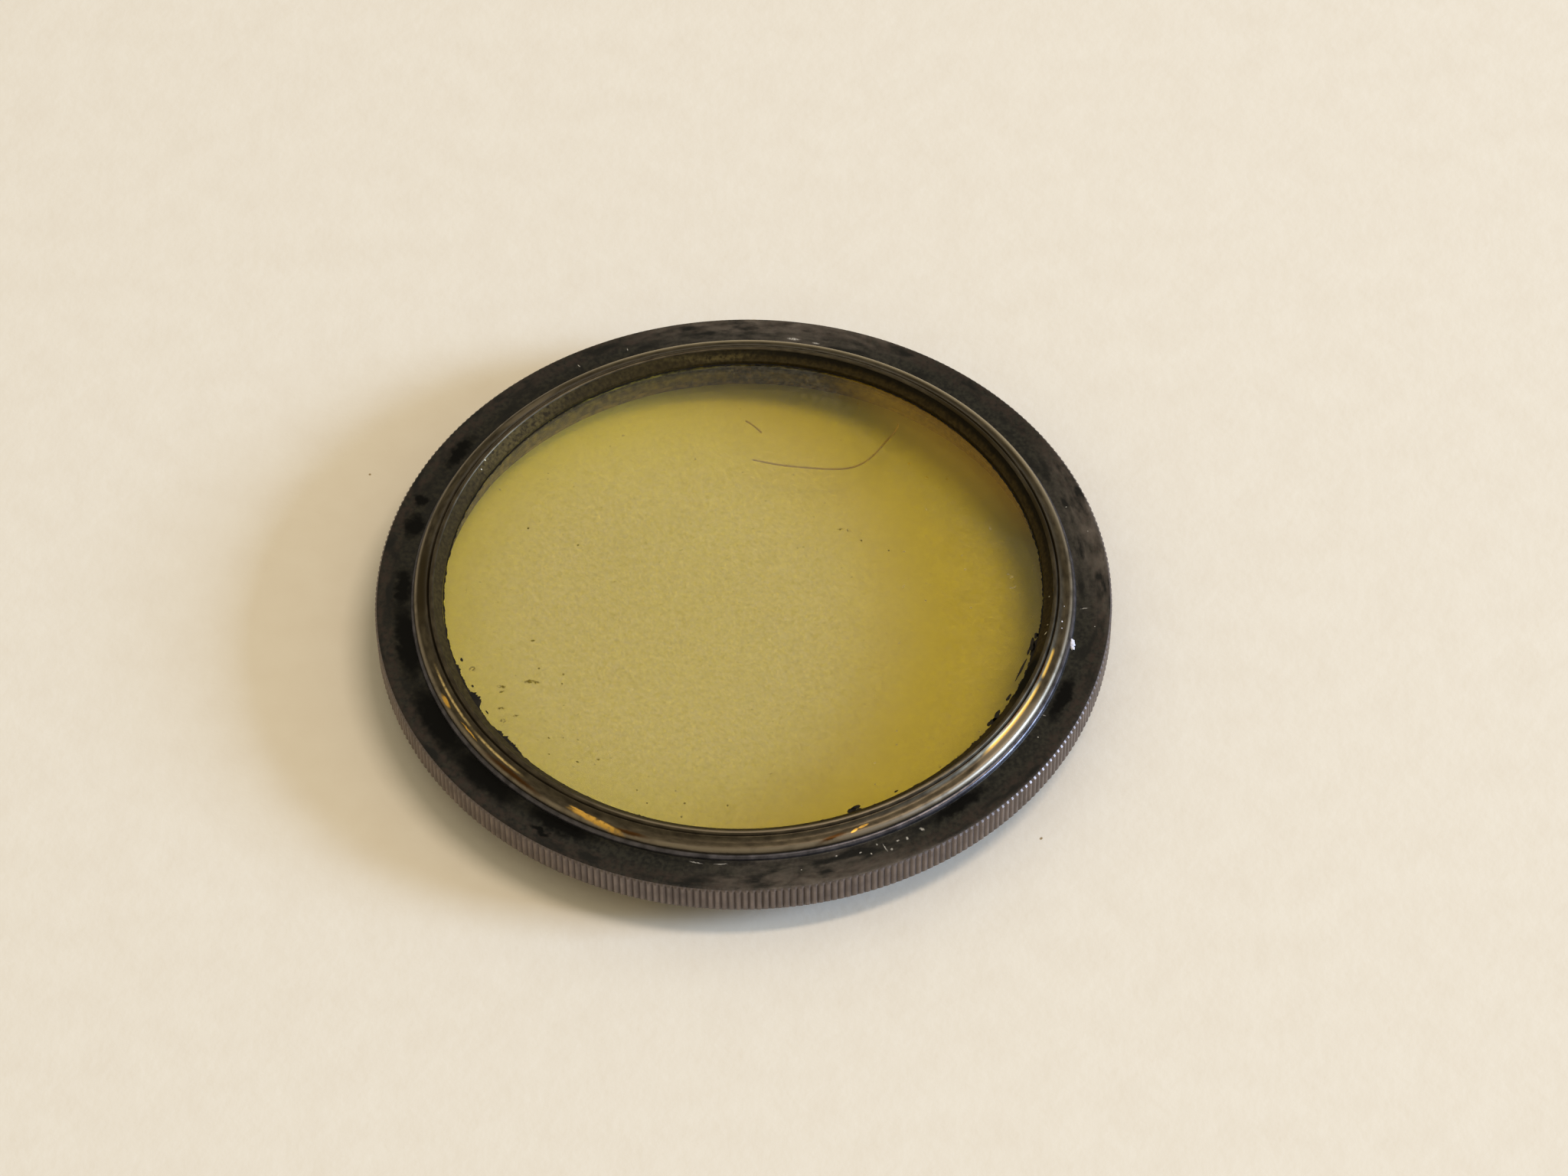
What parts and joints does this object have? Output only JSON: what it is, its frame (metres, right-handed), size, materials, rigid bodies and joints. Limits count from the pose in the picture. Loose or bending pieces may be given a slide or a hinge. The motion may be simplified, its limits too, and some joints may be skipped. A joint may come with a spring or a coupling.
{
  "type": "colour lens filter",
  "caption": "Round screw-in lens filter: a turned brass mount with a finely knurled flange holds a flat yellow glass disc behind a low beaded lip.",
  "frame": {"origin": "centre of the rear end face of the thread, on the optical axis, where the filter rests on a table", "axes": "+Z is the optical axis towards the front of the filter; +Y passes through the split in the retaining ring"},
  "size_m": [0.0436, 0.0436, 0.0049],
  "materials": {
    "mount": "blackened and worn, brown and bright brass on the edges",
    "glass": "polished faces, yellow throughout, ground bevels",
    "spring": "blackened and dull"
  },
  "bodies": {
    "root": {"mount_ring": "mount", "filter_glass": "glass", "retaining_ring": "spring"}
  },
  "joints": []
}
